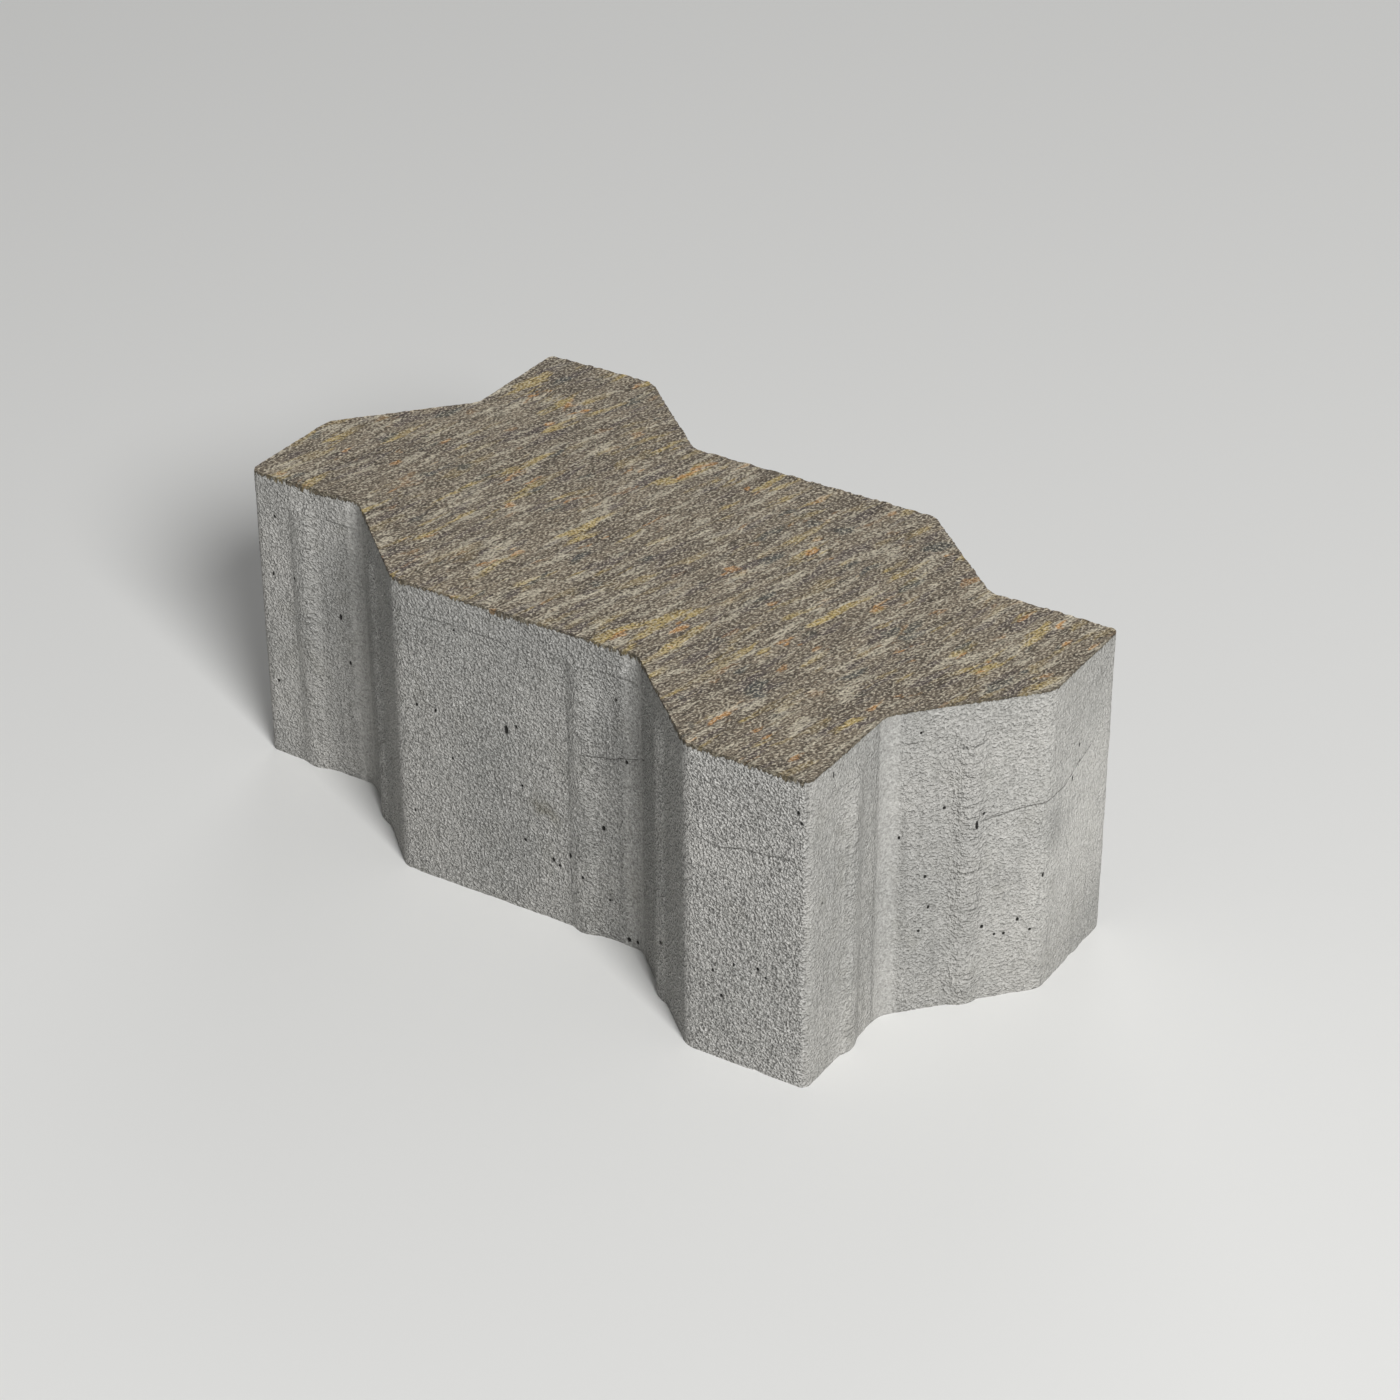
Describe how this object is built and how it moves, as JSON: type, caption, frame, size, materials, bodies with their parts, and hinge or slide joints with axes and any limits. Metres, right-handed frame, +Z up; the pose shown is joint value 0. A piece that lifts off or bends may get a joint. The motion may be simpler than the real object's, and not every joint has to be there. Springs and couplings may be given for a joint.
{
  "type": "paving stone",
  "caption": "Interlocking concrete paving stone with zigzag sides, flat top and bed, and low upright spacer ribs on its flanks.",
  "frame": {"origin": "centre of the stone in plan, on the plane of its flat bed", "axes": "+X along the long way of the stone, +Y across it, +Z up from the bed to the upper face"},
  "size_m": [0.2132, 0.1132, 0.08],
  "materials": {
    "concrete": "rough cast concrete, grey, with a brown-grey streaked upper face"
  },
  "bodies": {
    "root": {"paving_stone": "concrete"}
  },
  "joints": []
}
